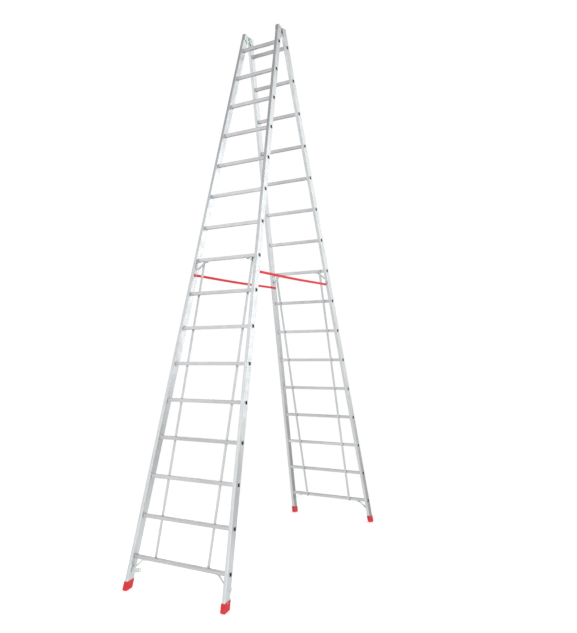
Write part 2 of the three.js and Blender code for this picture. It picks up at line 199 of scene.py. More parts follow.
class Shape:
    """Vertices and faces gathered before they become one object."""

    def __init__(self):
        self.vertices = []
        self.faces = []
        self.materials = []

    def add(self, vertices, faces, material=0):
        first = len(self.vertices)
        self.vertices.extend(Vector(v) for v in vertices)
        self.faces.extend([first + i for i in face] for face in faces)
        self.materials.extend([material] * len(faces))

    def loft(self, rings, closed=False, material=0):
        """A skin over rings of the same number of points, capped unless it closes on itself."""
        count = len(rings[0])
        vertices = [v for ring in rings for v in ring]
        faces = []
        spans = len(rings) if closed else len(rings) - 1
        for i in range(spans):
            a, b = i * count, (i + 1) % len(rings) * count
            for j in range(count):
                k = (j + 1) % count
                faces.append([a + j, a + k, b + k, b + j])
        if not closed:
            faces.append(list(range(count))[::-1])
            last = (len(rings) - 1) * count
            faces.append(list(range(last, last + count)))
        self.add(vertices, faces, material)

    def revolve(self, profile, place, steps=20, material=0):
        """A profile of (radius, height) pairs turned about place's z axis, closed on the axis."""
        rings = []
        for radius, height in profile:
            ring = []
            for i in range(steps):
                angle = 2 * math.pi * i / steps
                ring.append(place @ Vector((radius * math.cos(angle), radius * math.sin(angle), height)))
            rings.append(ring)
        self.loft(rings, material=material)

    def object(self, name, matrix, materials, slot, body, smooth=40):
        """The gathered mesh as a piece, which rides on a body if one is given. The slot is not used."""
        mesh = bpy.data.meshes.new(name)
        mesh.from_pydata([tuple(v) for v in self.vertices], [], self.faces)
        for material in materials:
            mesh.materials.append(material)
        mesh.polygons.foreach_set("material_index", self.materials)
        tidy_normals(mesh)
        piece = bpy.data.objects.new(name, mesh)
        bpy.context.scene.collection.objects.link(piece)
        piece.matrix_world = matrix
        finish_mesh(piece, smooth)
        if body:
            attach(piece, body)
        return piece


def tidy_normals(mesh):
    """Turns every face outwards."""
    work = bmesh.new()
    work.from_mesh(mesh)
    bmesh.ops.recalc_face_normals(work, faces=work.faces)
    work.to_mesh(mesh)
    work.free()


def finish_mesh(piece, smooth):
    """Smooth shading, with edges left sharp over an angle in degrees."""
    piece.data.shade_smooth()
    piece.data.set_sharp_from_angle(angle=math.radians(smooth))
    piece.data.update()


def facing(point, direction):
    """A frame at a point whose z axis looks along a direction."""
    turn = Vector(direction).to_track_quat("Z", "Y").to_matrix().to_4x4()
    return Matrix.Translation(point) @ turn


def arc(centre, radius, start, stop, steps):
    """Points on an arc in a plane, its angles in degrees."""
    points = []
    for i in range(steps + 1):
        angle = math.radians(start + (stop - start) * i / steps)
        points.append((centre[0] + radius * math.cos(angle), centre[1] + radius * math.sin(angle)))
    return points


def in_mm(profile):
    return [(a * MM, b * MM) for a, b in profile]


def rectangle(length, width):
    """A rectangle's corners about its middle."""
    a, b = length / 2, width / 2
    return [(-a, -b), (a, -b), (a, b), (-a, b)]


def rounded_rectangle(left, right, low, high, radius):
    """A rectangle's outline with rounded corners, anticlockwise from the right-hand side."""
    middles = [(right - radius, high - radius), (left + radius, high - radius)]
    middles += [(left + radius, low + radius), (right - radius, low + radius)]
    outline = []
    for quarter, middle in enumerate(middles):
        outline += arc(middle, radius, 90 * quarter, 90 * quarter + 90, 5)
    return outline


def node_points(name, inverse):
    """A CAD node's vertices in the frame that an inverse matrix leads to."""
    return [inverse @ v.co for v in frame["nodes"][name].data.vertices]


def bevel(piece, width):
    """Rounds a piece's sharp edges with modifiers, without changing its mesh."""
    weld = piece.modifiers.new("weld", "WELD")
    weld.merge_threshold = 0.02 * MM
    edge = piece.modifiers.new("bevel", "BEVEL")
    edge.width = width
    edge.segments = 2
    edge.limit_method = "ANGLE"
    edge.angle_limit = math.radians(30)
    edge.use_clamp_overlap = True
    edge.harden_normals = True
    even = piece.modifiers.new("even_shading", "WEIGHTED_NORMAL")
    even.keep_sharp = True
    even.weight = 100


# ---------------------------------------------------------------- materials


def fade(tree, value, low, high, at_low, at_high):
    """A smooth ramp over a value, from one number or socket to another."""
    node = tree.nodes.new("ShaderNodeMapRange")
    node.interpolation_type = "SMOOTHSTEP"
    for key, end in (("From Min", low), ("From Max", high), ("To Min", at_low), ("To Max", at_high)):
        if isinstance(end, (int, float)):
            node.inputs[key].default_value = end
        else:
            tree.links.new(end, node.inputs[key])
    tree.links.new(value, node.inputs["Value"])
    return node.outputs["Result"]


def shade(color, share):
    """A colour made darker or lighter."""
    return tuple(min(1.0, share * c) for c in color)


def lengthwise(along, long_scale, cross_scale):
    """A noise scale with one value along the "x" or "z" axis and another across it."""
    return tuple(long_scale if axis == along else cross_scale for axis in "xyz")


class Nodes:
    """A short way to build a material's node tree."""

    def __init__(self, name):
        self.material = bpy.data.materials.new(name)
        self.material.use_nodes = True
        self.tree = self.material.node_tree
        self.shader = self.tree.nodes["Principled BSDF"]

    def new(self, kind, **values):
        node = self.tree.nodes.new(kind)
        for key, value in values.items():
            setattr(node, key, value)
        return node

    def link(self, output, target):
        self.tree.links.new(output, target)

    def coordinates(self, frame_matrix=None):
        """Object coordinates, turned into a stile's or leaf's own frame if one is given."""
        output = self.new("ShaderNodeTexCoord").outputs["Object"]
        if frame_matrix is None:
            return output
        mapping = self.new("ShaderNodeMapping", vector_type="TEXTURE")
        mapping.inputs["Location"].default_value = frame_matrix.to_translation()
        mapping.inputs["Rotation"].default_value = frame_matrix.to_euler()
        self.link(output, mapping.inputs["Vector"])
        return mapping.outputs["Vector"]

    def stretched(self, vector, scale, turn=(0, 0, 0)):
        mapping = self.new("ShaderNodeMapping", vector_type="POINT")
        mapping.inputs["Scale"].default_value = scale
        mapping.inputs["Rotation"].default_value = turn
        self.link(vector, mapping.inputs["Vector"])
        return mapping.outputs["Vector"]

    def noise(self, vector, scale=1.0, detail=3.0, roughness=0.55, distortion=0.0):
        node = self.new("ShaderNodeTexNoise")
        node.inputs["Scale"].default_value = scale
        node.inputs["Detail"].default_value = detail
        node.inputs["Roughness"].default_value = roughness
        node.inputs["Distortion"].default_value = distortion
        self.link(vector, node.inputs["Vector"])
        return node.outputs["Fac"]

    def remap(self, value, low, high, to_low=0.0, to_high=1.0):
        return fade(self.tree, value, low, high, to_low, to_high)

    def math(self, operation, a, b=None):
        """A math node's result for one or two numbers or sockets."""
        node = self.new("ShaderNodeMath", operation=operation)
        for i, value in enumerate((a, b)):
            if value is None:
                continue
            if isinstance(value, (int, float)):
                node.inputs[i].default_value = value
            else:
                self.link(value, node.inputs[i])
        return node.outputs[0]

    def wave(self, value, length):
        return self.math("SINE", self.math("MULTIPLY", value, 2 * math.pi / length))

    def blend(self, factor, a, b):
        """A colour between two, each a tuple or a socket."""
        node = self.new("ShaderNodeMix", data_type="RGBA", blend_type="MIX")
        if isinstance(factor, (int, float)):
            node.inputs["Factor"].default_value = factor
        else:
            self.link(factor, node.inputs["Factor"])
        for socket, value in (("A", a), ("B", b)):
            target = [s for s in node.inputs if s.name == socket and s.type == "RGBA"][0]
            if isinstance(value, tuple):
                target.default_value = (*value, 1.0)
            else:
                self.link(value, target)
        return [s for s in node.outputs if s.type == "RGBA"][0]

    def bump(self, height, distance, strength=1.0):
        node = self.new("ShaderNodeBump")
        node.inputs["Distance"].default_value = distance
        node.inputs["Strength"].default_value = strength
        self.link(height, node.inputs["Height"])
        self.link(node.outputs["Normal"], self.shader.inputs["Normal"])

    def separate(self, vector):
        node = self.new("ShaderNodeSeparateXYZ")
        self.link(vector, node.inputs["Vector"])
        return node.outputs

    def set(self, **values):
        """Constant values on the shader's own sockets."""
        for key, value in values.items():
            self.shader.inputs[key.replace("_", " ")].default_value = value

    def use(self, color, roughness):
        """Links the shader's colour and roughness and gives the material."""
        self.link(color, self.shader.inputs["Base Color"])
        self.link(roughness, self.shader.inputs["Roughness"])
        return self.material


def drawn_metal(name, dark, light, along, frame_matrix=None, rough=(0.34, 0.5)):
    """Extruded or rolled metal: drawing lines along it, smudges and a few cross scratches."""
    n = Nodes(name)
    place = n.coordinates(frame_matrix)
    fine = n.noise(n.stretched(place, lengthwise(along, 6, 900)), detail=2)
    broad = n.noise(n.stretched(place, lengthwise(along, 0.9, 130)), detail=3)
    cloud = n.noise(place, scale=2.6, detail=6, roughness=0.62, distortion=0.5)
    smudge = n.noise(place, scale=17, detail=5, roughness=0.6)
    crosswise = n.stretched(place, lengthwise(along, 500, 28), (0.5, 0.4, 0.6))
    scratch = n.remap(n.noise(crosswise, detail=1), 0.70, 0.76)
    tone = n.math("ADD", n.math("MULTIPLY", broad, 0.45), n.math("MULTIPLY", cloud, 0.55))
    color = n.blend(n.remap(tone, 0.35, 0.66), dark, light)
    color = n.blend(n.math("MULTIPLY", n.remap(fine, 0.3, 0.75), 0.25), color, shade(dark, 0.86))
    color = n.blend(n.math("MULTIPLY", scratch, 0.35), color, shade(light, 1.12))
    dull = n.math("ADD", n.math("MULTIPLY", smudge, 0.6), n.math("MULTIPLY", cloud, 0.4))
    roughness = n.remap(dull, 0.3, 0.72, *rough)
    height = n.math("SUBTRACT", n.math("MULTIPLY", fine, 0.6), n.math("MULTIPLY", scratch, 0.8))
    height = n.math("ADD", height, n.math("MULTIPLY", smudge, 0.35))
    n.bump(height, 0.12 * MM, 0.35)
    n.set(Metallic=1.0)
    return n.use(color, roughness)


def zinc_plate(name):
    """Zinc-plated steel with a faint greenish cast that drifts to straw in places."""
    n = Nodes(name)
    place = n.coordinates()
    cloud = n.noise(place, scale=26, detail=5, roughness=0.6, distortion=0.8)
    drift = n.noise(place, scale=9, detail=3)
    grain = n.noise(place, scale=950, detail=2)
    spangle = n.new("ShaderNodeTexVoronoi")
    spangle.inputs["Scale"].default_value = 260
    n.link(place, spangle.inputs["Vector"])
    color = n.blend(n.remap(cloud, 0.35, 0.68), (0.50, 0.56, 0.54), (0.68, 0.73, 0.71))
    color = n.blend(n.remap(drift, 0.56, 0.72, 0.0, 0.5), color, (0.68, 0.67, 0.57))
    cell = n.remap(spangle.outputs["Distance"], 0.1, 0.7, 0.0, 0.16)
    color = n.blend(cell, color, (0.44, 0.50, 0.49))
    roughness = n.remap(n.math("ADD", cloud, n.math("MULTIPLY", grain, 0.3)), 0.45, 0.85, 0.28, 0.46)
    n.bump(n.math("ADD", grain, n.math("MULTIPLY", cloud, 0.8)), 0.1 * MM, 0.4)
    n.set(Metallic=1.0)
    return n.use(color, roughness)


def moulded_plastic(name, color, dusty, dust_height=None):
    """Moulded plastic with a fine grain, and dust and scuffs low down if dust_height is given."""
    n = Nodes(name)
    place = n.coordinates()
    grain = n.noise(place, scale=1500, detail=2)
    mottle = n.noise(place, scale=38, detail=5, roughness=0.6)
    scuff_noise = n.noise(n.stretched(place, (260, 60, 35), (0.3, 0.1, 0.5)), detail=2)
    scuff = n.remap(scuff_noise, 0.62, 0.74)
    base = n.blend(n.remap(mottle, 0.3, 0.7), shade(color, 0.86), color)
    wear = n.math("MULTIPLY", scuff, 0.30)
    if dust_height:
        height = n.separate(place)[2]
        low = n.remap(height, 0.0, dust_height, 1.0, 0.0)
        dust = n.math("MULTIPLY", low, n.remap(mottle, 0.35, 0.65, 0.1, 0.6))
        wear = n.math("MAXIMUM", wear, dust)
    base = n.blend(wear, base, dusty)
    roughness = n.remap(n.math("ADD", mottle, n.math("MULTIPLY", wear, 0.5)), 0.35, 0.9, 0.42, 0.6)
    n.bump(n.math("ADD", grain, n.math("MULTIPLY", mottle, 0.6)), 0.18 * MM, 0.45)
    n.set(Specular_IOR_Level=0.25)
    return n.use(base, roughness)


def woven_webbing(name):
    """Polyester webbing. Its UV map is in metres: u runs along the strap and v across it."""
    n = Nodes(name)
    place = n.new("ShaderNodeUVMap", uv_map="weave").outputs["UV"]
    u, v, _ = n.separate(place)
    picks = n.wave(u, 1.5 * MM)
    ends = n.wave(v, 1.7 * MM)
    twill = n.wave(n.math("ADD", u, n.math("ABSOLUTE", v)), 3.4 * MM)
    weave = n.math("MULTIPLY", n.math("MULTIPLY", picks, ends), 0.6)
    cloth = n.math("ADD", weave, n.math("MULTIPLY", twill, 0.4))
    fibre = n.noise(n.stretched(place, (260, 2600, 1)), detail=2)
    patch = n.noise(n.stretched(place, (7, 50, 1)), detail=4)
    edge = n.remap(n.math("ABSOLUTE", v), 7.9 * MM, 8.8 * MM)
    thread = n.remap(n.math("ADD", cloth, n.math("MULTIPLY", fibre, 0.5)), -0.6, 1.0)
    color = n.blend(thread, (0.54, 0.006, 0.016), (0.90, 0.016, 0.032))
    color = n.blend(n.remap(patch, 0.35, 0.7, 0.0, 0.35), color, (0.90, 0.045, 0.055))
    color = n.blend(n.math("MULTIPLY", edge, 0.5), color, (0.56, 0.012, 0.024))
    roughness = n.remap(thread, 0.0, 1.0, 0.92, 0.72)
    n.bump(n.math("ADD", cloth, n.math("MULTIPLY", fibre, 0.4)), 0.22 * MM, 0.7)
    n.set(Sheen_Weight=0.25, Sheen_Roughness=0.45, Specular_IOR_Level=0.3)
    return n.use(color, roughness)


def twisted_thread(name, color):
    """Sewing thread with a slanted twist."""
    n = Nodes(name)
    place = n.coordinates()
    twist = n.noise(n.stretched(place, (2200, 500, 2200), (0, 0, 0.6)), detail=2)
    tone = n.blend(n.remap(twist, 0.3, 0.7), shade(color, 0.6), color)
    n.bump(twist, 0.15 * MM, 0.6)
    n.set(Sheen_Weight=0.2)
    return n.use(tone, n.remap(twist, 0.2, 0.8, 0.6, 0.85))


def rivet_metal(name, tone, rough=(0.3, 0.5)):
    """Cast or turned metal, mottled and with a fine grain."""
    n = Nodes(name)
    place = n.coordinates()
    grain = n.noise(place, scale=700, detail=3)
    patch = n.noise(place, scale=90, detail=4)
    color = n.blend(n.remap(patch, 0.3, 0.7), shade(tone, 0.62), tone)
    n.bump(n.math("ADD", grain, patch), 0.12 * MM, 0.4)
    n.set(Metallic=1.0)
    return n.use(color, n.remap(grain, 0.3, 0.7, *rough))


ZINC = zinc_plate("zinc_plate")
RIVET = rivet_metal("rivet_aluminium", (0.46, 0.47, 0.48))
RIVET_CORE = rivet_metal("rivet_core_steel", (0.10, 0.10, 0.11), (0.5, 0.75))
SCREW = rivet_metal("screw_steel", (0.78, 0.78, 0.80), (0.22, 0.4))
SHOE = moulded_plastic("shoe_plastic", (0.62, 0.010, 0.020), (0.44, 0.055, 0.057), dust_height=14 * MM)
PLUG = moulded_plastic("plug_plastic", (0.30, 0.31, 0.32), (0.38, 0.38, 0.39))
WEBBING = woven_webbing("red_webbing")
THREAD = twisted_thread("strap_thread", (0.70, 0.02, 0.03))

# The darker and the lighter tone of each drawn metal.
STILE_TONES = (0.54, 0.555, 0.565), (0.635, 0.65, 0.66)
TIE_BAR_TONES = (0.50, 0.51, 0.52), (0.60, 0.61, 0.62)
RUNG_TONES = (0.47, 0.47, 0.482), (0.58, 0.58, 0.593)
# The bore's near-black tones are painted shade: they stand in for the shade inside the open rung tubes,
# not for a darker metal.
BORE_PAINTED_SHADE_TONES = (0.05, 0.05, 0.055), (0.10, 0.10, 0.105)


# ---------------------------------------------------------------- camera, light and floor

CAMERA_AZIMUTH = math.radians(29.619)
CAMERA_ELEVATION = math.radians(-3.113)
CAMERA_ROLL = math.radians(-0.585)
CAMERA_TARGET = Vector((0.2157, 0.0, 1.9454))
CAMERA_DISTANCE = 5.3045
CAMERA_LENS = 36.2

HORIZON_LIGHT = 0.82
CEILING_LIGHT = 0.25
FRONT_FLOOR_LIGHT = 0.85
REAR_FLOOR_LIGHT = 0.40

SUN_DIRECTION = (-0.75, 0.55, -0.45)
SUN_STRENGTH = 0.7
SUN_ANGLE = math.radians(40)

# Where each soft box is, the point that it faces, its width and height, and its face's brightness.
SOFT_BOXES = {
    "right_soft_box": ((4.4, 4.1, 3.5), (0.3, -0.6, 2.4), (2.6, 6.0), 2.1),
    "left_soft_box": ((-2.3, -4.3, 3.6), (0.2, -0.6, 2.2), (2.4, 4.6), 0.78),
    "rear_soft_box": ((-3.9, 4.2, 2.1), (0.0, -0.6, 1.2), (2.6, 2.2), 1.6),
    "low_right_soft_box": ((1.6, -4.3, 1.0), (0.0, -1.2, 0.3), (1.8, 1.4), 4.5),
    "low_left_soft_box": ((-2.0, -4.4, 0.6), (0.0, -0.9, 1.0), (2.6, 1.0), 0.55),
}

FLOOR_RADIUS = 3.0
FLOOR_SIDES = 96
FLOOR_Y = -1.65
FLOOR_DROP = 0.2 * MM
FLOOR_GLOW = 0.37


def make_camera():
    """Looks at the ladder from the front and right, a little upwards."""
    back = Vector((
        math.sin(CAMERA_AZIMUTH) * math.cos(CAMERA_ELEVATION),
        -math.cos(CAMERA_AZIMUTH) * math.cos(CAMERA_ELEVATION),
        math.sin(CAMERA_ELEVATION),
    ))
    level = (-back).cross(Vector((0, 0, 1))).normalized()
    up = level.cross(-back)
    right = level * math.cos(CAMERA_ROLL) + up * math.sin(CAMERA_ROLL)
    top = up * math.cos(CAMERA_ROLL) - level * math.sin(CAMERA_ROLL)
    data = bpy.data.cameras.new("camera")
    data.lens = CAMERA_LENS
    data.sensor_width = 36
    data.clip_end = 300
    camera = bpy.data.objects.new("camera", data)
    bpy.context.scene.collection.objects.link(camera)
    place = Matrix((right, top, back)).transposed().to_4x4()
    place.translation = CAMERA_TARGET + back * CAMERA_DISTANCE
    camera.matrix_world = place
    bpy.context.scene.camera = camera


def make_world():
    """White studio light, dimmer overhead and over the floor behind the ladder."""
    world = bpy.data.worlds.new("studio")
    world.use_nodes = True
    tree = world.node_tree
    direction = tree.nodes.new("ShaderNodeTexCoord").outputs["Generated"]
    axes = tree.nodes.new("ShaderNodeSeparateXYZ")
    tree.links.new(direction, axes.inputs["Vector"])
    above = fade(tree, axes.outputs["Z"], 0.46, 0.92, HORIZON_LIGHT, CEILING_LIGHT)
    below = fade(tree, axes.outputs["Y"], -0.3, 0.3, FRONT_FLOOR_LIGHT, REAR_FLOOR_LIGHT)
    around = fade(tree, axes.outputs["Z"], -0.15, 0.10, below, above)
    seen = tree.nodes.new("ShaderNodeLightPath").outputs["Is Camera Ray"]
    background = tree.nodes["Background"]
    background.inputs["Color"].default_value = (1, 1, 1, 1)
    tree.links.new(fade(tree, seen, 0, 1, around, 1.0), background.inputs["Strength"])
    bpy.context.scene.world = world


def make_sun():
    """A broad, weak key light from the front, the right and above."""
    data = bpy.data.lights.new("key_light", "SUN")
    data.energy = SUN_STRENGTH
    data.angle = SUN_ANGLE
    sun = bpy.data.objects.new("key_light", data)
    sun.rotation_euler = Vector(SUN_DIRECTION).to_track_quat("-Z", "Y").to_euler()
    bpy.context.scene.collection.objects.link(sun)


def make_soft_box(name, place, towards, size, glow):
    """A soft box whose face has the given brightness."""
    data = bpy.data.lights.new(name, "AREA")
    data.shape = "RECTANGLE"
    data.size, data.size_y = size
    data.energy = glow * math.pi * size[0] * size[1]
    box = bpy.data.objects.new(name, data)
    box.location = place
    box.rotation_euler = (Vector(towards) - Vector(place)).to_track_quat("-Z", "Y").to_euler()
    box.visible_camera = False
    bpy.context.scene.collection.objects.link(box)


def make_floor():
    """A pale disc under the ladder, with a glow that lifts it to the white around it."""
    turns = [2 * math.pi * i / FLOOR_SIDES for i in range(FLOOR_SIDES)]
    rim = [(FLOOR_RADIUS * math.cos(turn), FLOOR_RADIUS * math.sin(turn), 0) for turn in turns]
    mesh = bpy.data.meshes.new("floor")
    mesh.from_pydata(rim, [], [tuple(range(FLOOR_SIDES))])
    n = Nodes("pale_floor")
    place = n.coordinates()
    cloud = n.noise(place, scale=0.8, detail=4)
    grain = n.noise(place, scale=60, detail=3)
    color = n.blend(n.remap(cloud, 0.3, 0.7), (0.90, 0.90, 0.90), (0.93, 0.93, 0.93))
    n.bump(grain, 0.3 * MM, 0.2)
    mesh.materials.append(n.use(color, n.remap(grain, 0.3, 0.7, 0.75, 0.9)))
    n.set(Emission_Color=(1, 1, 1, 1), Emission_Strength=FLOOR_GLOW)
    floor = bpy.data.objects.new("floor", mesh)
    floor.location = (0, FLOOR_Y, cad_box[0].z - FLOOR_DROP)
    bpy.context.scene.collection.objects.link(floor)


make_camera()
make_world()
make_sun()
for name, (place, towards, size, glow) in SOFT_BOXES.items():
    make_soft_box(name, place, towards, size, glow)
make_floor()
bpy.context.scene.view_settings.view_transform = "Standard"


# ---------------------------------------------------------------- finishes on the CAD nodes


def dress(name, material, width):
    """Gives a CAD node its finish and rounds its edges."""
    piece = frame["nodes"][name]
    piece.data.materials.clear()
    piece.data.materials.append(material)
    bevel(piece, width)


def dress_side(leaf, side):
    """The metal parts on one side of a leaf."""
    hand = leaf.hand(side)
    where = f"{leaf.end}_{hand}"
    stile = drawn_metal(f"stile_{where}", *STILE_TONES, "z", leaf.stile(side))
    dress(f"stile_{where}", stile, 0.5 * MM)
    bar = drawn_metal(f"tie_bar_{where}", *TIE_BAR_TONES, "z", leaf.matrix)
    dress(f"tie_bar_{where}", bar, 0.5 * MM)
    dress(f"hinge_plate_{where}", ZINC, 0.5 * MM)
    for level in BRACED:
        dress(f"brace_{leaf.end}_{level}_{hand}", ZINC, 0.6 * MM)


for leaf in LEAVES:
    for side in SIDES:
        dress_side(leaf, side)
for hand in ("left", "right"):
    dress(f"catch_plate_{hand}", ZINC, 0.4 * MM)


# ---------------------------------------------------------------- rungs

# A rung's treads lie level, so they are turned against the leaf's lean.
TREAD_TURN = Matrix.Rotation(LEAN, 3, "X")

# A groove's edges and floor: how far across it, in groove widths, and how deep.
GROOVE_PROFILE = [(-0.5, 0), (-0.3, 1), (0.3, 1), (0.5, 0)]

# How a rung's skin runs outwards, in mm. Each pair is a distance from a web and how far the skin
# stands out there: the collar inside the inner web, the lip outside the outer one, the bore's mouth.
COLLAR = [(-9, 0), (-6.5, 0.25), (-4.2, 1.1), (-2.4, 1.9), (-1.2, 2.1), (-0.35, 1.9), (-0.3, 0)]
LIP = [(0.2, 0), (0.3, 1.6), (0.9, 2.1), (1.7, 1.9), (2.4, 1.1)]
MOUTH = [(2.45, 0.9), (1.4, 0.35), (-1.0, 0)]

RUNG_KINDS = 4


def tread_side():
    """The grooved side of a rung's section, as (across, up, sink)."""
    side = []
    for i in range(GROOVES):
        middle = ((GROOVES - 1) / 2 - i) * GROOVE_PITCH
        for offset, depth in GROOVE_PROFILE:
            side.append((middle - offset * GROOVE_WIDTH, RUNG_HALF, depth * GROOVE_DEPTH))
    return side


def rung_section():
    """Points round a plain square tube, as (across, up, sink), where sink is a groove's depth there."""
    points = []
    inner = RUNG_HALF - RUNG_CORNER
    for quarter in range(4):
        turn = Matrix.Rotation(math.pi / 2 * quarter, 2)
        if quarter in (0, 2):
            side = tread_side()
        else:
            side = [(share * inner, RUNG_HALF, 0) for share in (0.5, 0.0, -0.5)]
        corner = [(a, b, 0) for a, b in arc((-inner, inner), RUNG_CORNER, 90, 180, 4)]
        for a, b, sink in side + corner:
            turned = turn @ Vector((a, b))
            points.append((turned.x, turned.y, sink))
    return points


def rung_ring(centre, side, web, offset, growth, bore=False):
    """One ring of a rung's skin or bore, at an offset from a web and grown by some mm."""
    ring = []
    for a, b, sink in RUNG_SECTION:
        size = Vector((0, a, b))
        if bore:
            size *= (RUNG_HALF - RUNG_WALL) / RUNG_HALF
        else:
            depth = sink if growth == 0 else sink / 2
            size *= 1 - depth / RUNG_HALF
        size *= 1 + growth * MM / RUNG_HALF
        place = TREAD_TURN @ size + centre
        ring.append((side * (web(place.z) + offset * MM), place.y, place.z))
    return ring


def rung_half(leaf, centre, side):
    """The rings from one collar out over the lip and into the bore."""
    rings = [rung_ring(centre, side, leaf.inner_web, d, g) for d, g in COLLAR]
    rings += [rung_ring(centre, side, leaf.outer_web, d, g) for d, g in LIP]
    rings += [rung_ring(centre, side, leaf.outer_web, d, g, bore=True) for d, g in MOUTH]
    return rings


def make_rung(leaf, number, metal):
    """A tube with grooved treads, swaged against the inner webs and flared over the outer ones."""
    centre = leaf.rungs[number]
    shape = Shape()
    shape.loft(rung_half(leaf, centre, 1) + rung_half(leaf, centre, -1)[::-1], closed=True)
    name = f"rung_{leaf.end}_{number:02d}"
    metals = [metal, RUNG_BORE_PAINTED_SHADE]
    piece = shape.object(f"{name}_tube", leaf.matrix, metals, "rung", leaf.body, smooth=28)
    # Faces inside the tube take the bore's painted shade.
    for face in piece.data.polygons:
        across = TREAD_TURN.inverted() @ (face.center - centre)
        if max(abs(across.y), abs(across.z)) < RUNG_HALF - 0.6 * RUNG_WALL:
            face.material_index = 1
    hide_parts(name)


def rung_metal(leaf, kind):
    """Rung aluminium, a little lighter from one kind to the next."""
    dark, light = (shade(tone, 0.98 + 0.02 * kind) for tone in RUNG_TONES)
    return drawn_metal(f"rung_{leaf.end}_{kind}", dark, light, "x")


RUNG_SECTION = rung_section()
# Painted shade: the inside of each rung tube is near-black metal, for the shade that falls in the open
# tube.
RUNG_BORE_PAINTED_SHADE = drawn_metal("rung_bore", *BORE_PAINTED_SHADE_TONES, "x", rough=(0.55, 0.7))
RUNG_METALS = {leaf: [rung_metal(leaf, kind) for kind in range(RUNG_KINDS)] for leaf in LEAVES}
for leaf, metals in RUNG_METALS.items():
    for number in leaf.rungs:
        make_rung(leaf, number, metals[number % RUNG_KINDS])


# ---------------------------------------------------------------- rivets and plugs

# A rivet's head as shares of its radius and height, from the middle out.
BLIND_RIVET = [(0, 0.55), (0.38, 0.55), (0.42, 0.90), (0.50, 1.0)]
BLIND_RIVET += [(0.70, 0.93), (0.88, 0.6), (1.0, 0.2), (1.0, 0)]

# The hinge plates' rivets on each leaf: height in the leaf's frame and distance out.
HINGE_RIVETS = {
    "front": [(-13 * MM, 46 * MM), (-39 * MM, 32 * MM)],
    "rear": [(-12 * MM, 36 * MM), (-36 * MM, 42 * MM)],
}


def add_rivet(shape, point, direction, radius, height):
    """A domed blind rivet with a recessed core, standing on a surface."""
    place = facing(point, direction)
    base = [(radius, -0.2 * MM)]
    dome = [(r * radius, h * height) for r, h in BLIND_RIVET[::-1]]
    core_radius = BLIND_RIVET[1][0] * radius
    shell = base + [p for p in dome if p[0] > core_radius] + [(core_radius, 0.6 * height)]
    shape.revolve(shell, place, 20)
    core = [(core_radius, 0.1 * height), (core_radius * 0.98, 0.55 * height)]
    core.append((core_radius * 0.5, 0.68 * height))
    shape.revolve(core, place, 10, material=1)


def make_web_rivets(leaf, side):
    """Rivets through a stile: hinge plate, braces, strap. Heads on the outer web and inside."""
    upper_z = leaf.rungs[BRACED["upper"]].z
    lower_z = leaf.rungs[BRACED["lower"]].z
    tab = GAP + PLATE
    lower_stack = tab + GAP + CATCH_PLATE if leaf.end == "front" else None
    # Leaf height, distance out, head radius, and what lies on the inner web if a head shows there.
    through = [(z, out, WEB_RIVET_RADIUS, GAP + HINGE_PLATE) for z, out in HINGE_RIVETS[leaf.end]]
    through.append((upper_z - BRACE_RIVET_DROP, BRACE_OUT, BRACE_RIVET_RADIUS, tab))
    through.append((lower_z - BRACE_RIVET_DROP, BRACE_OUT, BRACE_RIVET_RADIUS, lower_stack))
    through.append((upper_z - STRAP_DROP, STRAP_OUT, WEB_RIVET_RADIUS, None))
    shape = Shape()
    for z, out, radius, stack in through:
        add_rivet(shape, leaf.web_point(side, z, out, 0), (side, 0, 0), radius, 1.9 * MM)
        if stack is not None:
            point = leaf.web_point(side, z, out, STILE_WIDTH + stack)
            add_rivet(shape, point, (-side, 0, 0), radius, 1.7 * MM)
    name = f"web_rivets_{leaf.end}_{leaf.hand(side)}"
    shape.object(name, leaf.stile(side), [RIVET, RIVET_CORE], "rivet", leaf.body)


def make_leaf_rivets(leaf, side):
    """Rivets that hold the tie bar to its rungs and the braces' tabs under theirs."""
    hand = leaf.hand(side)
    bar = f"tie_bar_{leaf.end}_{hand}"
    low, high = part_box(bar)
    bar_x = side * abs(low.x + high.x) / 2
    bar_y = max(point.y for point in node_points(bar, leaf.inverse))
    shape = Shape()
    for number in range(1, TIED_RUNGS + 1):
        point = Vector((bar_x, bar_y, leaf.rungs[number].z))
        add_rivet(shape, point, (0, 1, 0), TIE_RIVET_RADIUS, 2.0 * MM)
    reach = RUNG_HALF * (math.cos(LEAN) + math.sin(LEAN))
    for rung in BRACED.values():
        z = leaf.rungs[rung].z
        x = side * (leaf.inner_web(z) - BRACE_REACH - BRACE_TOP_TAB * 0.55)
        point = Vector((x, -BRACE_OUT, z - reach - GAP - PLATE))
        add_rivet(shape, point, (0, 0, -1), BRACE_RIVET_RADIUS, 1.8 * MM)
    shape.object(f"rung_rivets_{leaf.end}_{hand}", leaf.matrix, [RIVET, RIVET_CORE], "rivet", leaf.body)


def make_plug(leaf, side):
    """A moulded cap over a stile's open top, following its rounded nose."""
    top, near, far = STILE_TOP, -STILE_NEAR, -STILE_FAR
    cover, lap, fit, chamfer = 1.8 * MM, 3 * MM, 0.1 * MM, 0.7 * MM
    corner = (far + NOSE_RADIUS, top - NOSE_RADIUS)
    inner = [(near, top + fit)] + arc(corner, NOSE_RADIUS + fit, 90, 180, 8)
    inner.append((far - fit, top - NOSE_RADIUS - lap))
    outer = [(near, top + cover)] + arc(corner, NOSE_RADIUS + cover, 90, 180, 8)
    outer.append((far - cover, top - NOSE_RADIUS - lap))
    rings = []
    for x, inset in ((0, chamfer), (chamfer, 0), (STILE_WIDTH - chamfer, 0), (STILE_WIDTH, chamfer)):
        share = inset / cover
        ring = [(-side * x, y, z) for y, z in inner]
        for (yi, zi), (yo, zo) in zip(inner[::-1], outer[::-1]):
            ring.append((-side * x, yo + (yi - yo) * share, zo + (zi - zo) * share))
        rings.append(ring)
    shape = Shape()
    shape.loft(rings)
    name = f"stile_plug_{leaf.end}_{leaf.hand(side)}"
    shape.object(name, leaf.stile(side), [PLUG], "plug", leaf.body, smooth=35)


